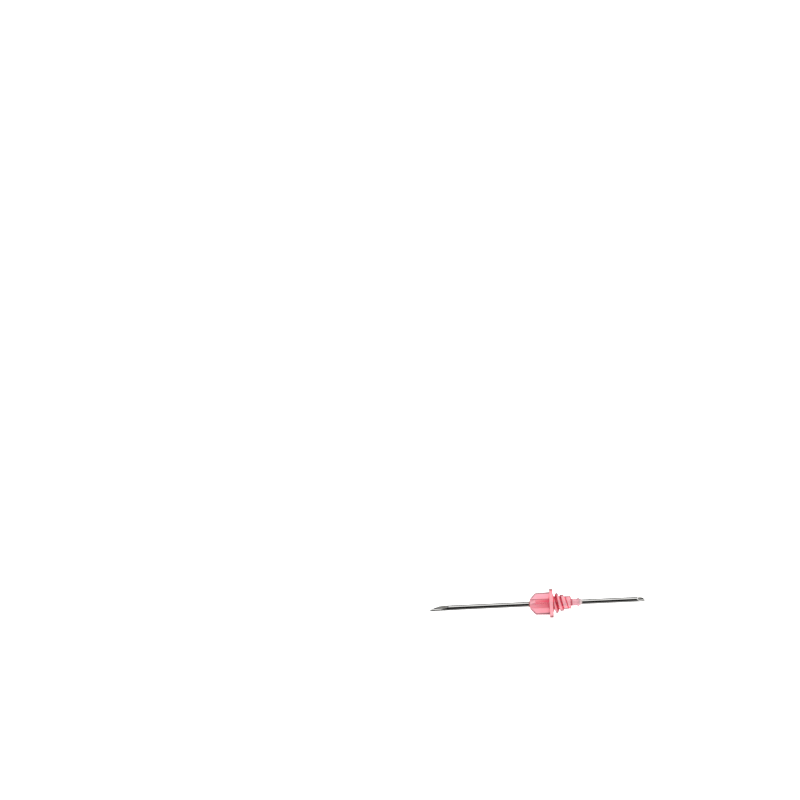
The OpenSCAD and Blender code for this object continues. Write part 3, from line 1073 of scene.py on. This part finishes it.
class NEEDLE_OT_hub(bpy.types.Operator):
    """Build the pink moulding with its fins, flange, screw thread and barbed spigot"""

    bl_idname = "needle.build_hub"
    bl_label = "Hub moulding"

    def execute(self, context):
        hub, thread = context.scene.needle_hub, context.scene.needle_thread
        places = Places(context.scene)
        plastic = pink_plastic(places, hub, thread)
        fins = run_geometry_tree(
            fin_sector_mesh(places, hub),
            fins_tree(),
            {"Fins": hub.fin_count, "Join within": 1e-4, "Finish": plastic},
        )
        count = hub.fin_count * SECTOR_STEPS
        last = math.pi / hub.fin_count
        rows = lathe_rows(hub_lathe_profile(places, hub, thread), count)
        turned = Matrix.Rotation(-last, 3, "Z")
        rows = [[tuple(turned @ Vector(p)) for p in row] for row in rows]
        rear = run_geometry_tree(
            ring_surface(rows, "rear lathe"),
            thread_tree(),
            {
                "Thread place": places.thread,
                "Boss length": mm(hub.boss) - mm(hub.boss_chamfer) - 0.02,
                "Root radius": mm(thread.root) / 2,
                "Crest radius": mm(thread.crest) / 2,
                "Last crest radius": mm(thread.end_crest) / 2,
                "Lead": mm(thread.lead),
                "Starts": thread.starts,
                "Crest width": mm(thread.crest_width),
                "Flank slope": math.tan(thread.flank),
                "Full height length": mm(thread.full),
                "Taper length": mm(thread.taper),
                "Sunk start": mm(thread.sunk),
                "First start turn": thread.start_turn,
                "Rounding": 0.05,
                "Finish": plastic,
            },
        )
        bm = bmesh.new()
        for part in (fins, rear):
            bm.from_mesh(part)
            bpy.data.meshes.remove(part)
        bm.transform(Matrix.Rotation(hub.fin_turn, 4, "Z"))
        for v in bm.verts:
            if v.co.x > places.gate_x:
                v.co.x = places.gate_x
        mesh = closed_mesh(bm, "hub_moulding", places.lay_down, sharp=32.0)
        put_in_scene(mesh, "hub", "hub_plastic", plastic)
        return {"FINISHED"}


# Adhesive


class NEEDLE_OT_adhesive(bpy.types.Operator):
    """Build the set adhesive in the front well and at the end of the spigot"""

    bl_idname = "needle.build_adhesive"
    bl_label = "Adhesive"

    def execute(self, context):
        hub, settings = context.scene.needle_hub, context.scene.needle_adhesive
        places = Places(context.scene)
        film = mm(settings.film)
        glue_r = places.tube_r + film
        self.build_front(places, hub, settings, film, glue_r)
        self.build_rear(places, hub, settings, film, glue_r)
        return {"FINISHED"}

    def build_front(self, places, hub, settings, film, glue_r):
        well_r, deep = mm(hub.front_well) / 2, mm(hub.front_well_deep)
        bottom = deep * settings.fill
        bottom_r = well_r + (places.bore_r - well_r) * settings.fill - film
        meniscus = well_r - film - glue_r
        hollow = 0.93 * meniscus
        front = places.front
        profile = [(glue_r, front + bottom), (glue_r, front - meniscus)]
        profile += arc(glue_r + meniscus, front - meniscus, hollow, 180, 90, 8)
        profile += [(glue_r + meniscus, front), (bottom_r, front + bottom)]
        profile += [(glue_r, front + bottom)]
        self.finish(
            places, lathe_rows(profile, 96), "front_adhesive_drop", "front_adhesive", "front_glue",
            set_adhesive("Front adhesive", places, settings.front_tint, settings, 0.55),
        )

    def build_rear(self, places, hub, settings, film, glue_r):
        well_r, deep = mm(hub.rear_well) / 2, mm(hub.rear_well_deep)
        bottom = deep * settings.fill
        bottom_r = well_r + (places.bore_r - well_r) * settings.fill - film
        bead_r, long = mm(settings.bead) / 2, mm(settings.bead_long)
        end = places.end
        profile = [
            (glue_r, end - bottom),
            (bottom_r, end - bottom),
            (well_r - film, end),
            (well_r - film, end + film),
            (bead_r - 0.03, end + film),
            (bead_r, end + film + 0.03),
        ]
        shoulder, tail = bead_r - long / 12, glue_r + long / 20
        for k in range(9):
            t = k / 8
            z = end + long / 4 + (0.72 * long) * t
            profile.append((shoulder + (tail - shoulder) * t**1.15, z))
        profile += [(glue_r, end + long), (glue_r, end - bottom)]
        self.finish(
            places, lathe_rows(profile, 96), "rear_adhesive_bead", "rear_adhesive", "rear_glue",
            set_adhesive("Rear adhesive", places, settings.rear_tint, settings, 0.5),
        )

    def finish(self, places, rows, name, node, slot, material):
        shell = ring_surface(rows, name + " shell")
        bm = bmesh.new()
        bm.from_mesh(shell)
        bpy.data.meshes.remove(shell)
        mesh = closed_mesh(bm, name, places.lay_down)
        put_in_scene(mesh, node, slot, material)


# Studio


def mirror_mask(w):
    """1 for what polished steel mirrors, 0 for what the camera, soft or clear surfaces see."""
    path = w.node("ShaderNodeLightPath")
    reflected = w.sum("SUBTRACT", 1.0, path.outputs["Is Transmission Ray"])
    return w.sum("MULTIPLY", path.outputs["Is Glossy Ray"], reflected), path


def studio_world(scene, studio):
    """Even light on every side, with a strip light over a dark front where steel mirrors it."""
    world = bpy.data.worlds.new("Studio")
    world.use_nodes = True
    tree = world.node_tree
    tree.nodes.clear()
    w = Wiring(tree)
    coordinates = w.node("ShaderNodeTexCoord")
    split = w.node("ShaderNodeSeparateXYZ")
    w.feed(split.inputs[0], coordinates.outputs["Generated"])
    forward = w.sum("MULTIPLY", split.outputs["Y"], -1.0)
    over = w.sum("ARCTAN2", split.outputs["Z"], forward)
    ramp = w.node("ShaderNodeValToRGB")
    w.feed(ramp.inputs["Fac"], w.sum("DIVIDE", over, math.pi))
    stops = ramp.color_ramp.elements
    wanted = (
        (0.0, studio.dark),
        (59.0, studio.dark),
        (67.0, studio.strip),
        (109.0, studio.strip),
        (120.0, studio.far),
        (180.0, studio.far),
    )
    for k, (degrees, level) in enumerate(wanted):
        stop = stops[k] if k < 2 else stops.new(degrees / 180)
        stop.position = degrees / 180
        stop.color = (level, level, level, 1)
    even = w.node("ShaderNodeMapRange", clamp=True)
    w.feed(even.inputs["Value"], split.outputs["Z"])
    even.inputs["To Min"].default_value = studio.side
    even.inputs["To Max"].default_value = studio.sky
    mirrored, path = mirror_mask(w)
    lit = w.node("ShaderNodeMix", data_type="RGBA")
    w.feed(lit.inputs[0], mirrored)
    w.feed(lit.inputs[6], even.outputs[0])
    w.feed(lit.inputs[7], ramp.outputs["Color"])
    shown = w.node("ShaderNodeMix", data_type="RGBA")
    w.feed(shown.inputs[0], path.outputs["Is Camera Ray"])
    w.feed(shown.inputs[6], lit.outputs[2])
    shown.inputs[7].default_value = (1.0, 1.0, 1.0, 1.0)
    light = w.node("ShaderNodeBackground")
    w.feed(light.inputs["Color"], shown.outputs[2])
    output = w.node("ShaderNodeOutputWorld")
    w.feed(output.inputs["Surface"], light.outputs[0])
    scene.world = world


def studio_floor(scene, studio, rest):
    """White table. Steel mirrors it with a painted shade: dark in front of the needle and paler right under it.

    rest holds where the patient point touches the table and how steeply the needle rises."""
    half = 3.0
    mesh = bpy.data.meshes.new("floor")
    mesh.from_pydata(
        [(-half, -half, 0), (half, -half, 0), (half, half, 0), (-half, half, 0)], [], [(0, 1, 2, 3)]
    )
    material = bpy.data.materials.new("White table")
    material.use_nodes = True
    shader = material.node_tree.nodes["Principled BSDF"]
    w = Wiring(material.node_tree)
    mirrored, _ = mirror_mask(w)
    coordinates = w.node("ShaderNodeTexCoord")
    split = w.node("ShaderNodeSeparateXYZ")
    w.feed(split.inputs[0], coordinates.outputs["Object"])
    # Painted shade in the table as steel mirrors it, set by the angle below the needle's line: dark in front,
    # paler right under it.
    along = w.sum("SUBTRACT", split.outputs["X"], rest[0])
    height = w.sum("MAXIMUM", w.sum("MULTIPLY", along, rest[1]), 3e-4)
    under = w.sum("ARCTAN2", height, w.sum("MULTIPLY", split.outputs["Y"], -1.0))
    seen = ramp_line(w, under, math.radians(3), math.radians(62), studio.dark, studio.mirrored)
    for socket, plain in (("Base Color", studio.floor[0]), ("Emission Color", studio.glow)):
        shade = w.node("ShaderNodeMix", data_type="FLOAT")
        w.feed(shade.inputs[0], mirrored)
        shade.inputs[2].default_value = plain
        w.feed(shade.inputs[3], seen)
        w.feed(shader.inputs[socket], shade.outputs[0])
    shader.inputs["Emission Strength"].default_value = 1.0
    shader.inputs["Roughness"].default_value = 0.7
    shader.inputs["Specular IOR Level"].default_value = 0.2
    mesh.materials.append(material)
    floor = bpy.data.objects.new("floor", mesh)
    scene.collection.objects.link(floor)
    return floor


def soft_box(scene, name, place, aim, size, power):
    light = bpy.data.lights.new(name, "AREA")
    light.shape = "RECTANGLE"
    light.size, light.size_y = size
    light.energy = power
    box = bpy.data.objects.new(name, light)
    box.location = place
    box.rotation_euler = (Vector(aim) - Vector(place)).to_track_quat("-Z", "Y").to_euler()
    box.visible_glossy = False
    scene.collection.objects.link(box)
    return box


class NEEDLE_OT_studio(bpy.types.Operator):
    """Lay out the pale floor, the soft light and the camera"""

    bl_idname = "needle.build_studio"
    bl_label = "Studio"

    def execute(self, context):
        scene, studio = context.scene, context.scene.needle_studio
        studio_world(scene, studio)
        lay = Places(scene).lay_down
        rest = (lay[0][3], lay[2][2] / lay[0][2])
        floor = studio_floor(scene, studio, rest)
        top = soft_box(scene, "top box", (-0.15, 0.25, 0.9), (0, 0, 0), (0.9, 0.5), 3.0)
        lens = bpy.data.cameras.new("camera")
        lens.lens, lens.sensor_width = studio.lens, 36.0
        lens.clip_start, lens.clip_end = 0.01, 20.0
        camera = bpy.data.objects.new("camera", lens)
        camera.location = studio.camera_place
        aim = Matrix.Rotation(studio.camera_turn, 3, "Z")
        aim = aim @ Matrix.Rotation(math.pi / 2 - studio.camera_down, 3, "X")
        camera.rotation_euler = (aim @ Matrix.Rotation(studio.camera_roll, 3, "Z")).to_euler()
        scene.collection.objects.link(camera)
        scene.camera = camera
        scene.view_settings.view_transform = "Standard"
        scene.view_settings.look = "None"
        return {"FINISHED"}


# Add-on


class NEEDLE_PT_panel(bpy.types.Panel):
    """Lists the needle's pieces"""

    bl_idname = "NEEDLE_PT_panel"
    bl_label = "Blood collection needle"
    bl_space_type = "VIEW_3D"
    bl_region_type = "UI"
    bl_category = "Needle"

    def draw(self, context):
        for operator in OPERATORS:
            self.layout.operator(operator.bl_idname)


SETTINGS = {
    "needle_tube": TubeSettings,
    "needle_hub": HubSettings,
    "needle_thread": ThreadSettings,
    "needle_adhesive": AdhesiveSettings,
    "needle_studio": StudioSettings,
}
OPERATORS = (NEEDLE_OT_tube, NEEDLE_OT_hub, NEEDLE_OT_adhesive, NEEDLE_OT_studio)


def register():
    for cls in (*SETTINGS.values(), *OPERATORS, NEEDLE_PT_panel):
        bpy.utils.register_class(cls)
    for name, group in SETTINGS.items():
        setattr(bpy.types.Scene, name, PointerProperty(type=group))


def unregister():
    for name in SETTINGS:
        delattr(bpy.types.Scene, name)
    for cls in reversed((*SETTINGS.values(), *OPERATORS, NEEDLE_PT_panel)):
        bpy.utils.unregister_class(cls)


def main():
    register()
    bpy.ops.needle.build_tube()
    bpy.ops.needle.build_hub()
    bpy.ops.needle.build_adhesive()
    bpy.ops.needle.build_studio()
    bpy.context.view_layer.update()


if __name__ == "__main__":
    main()
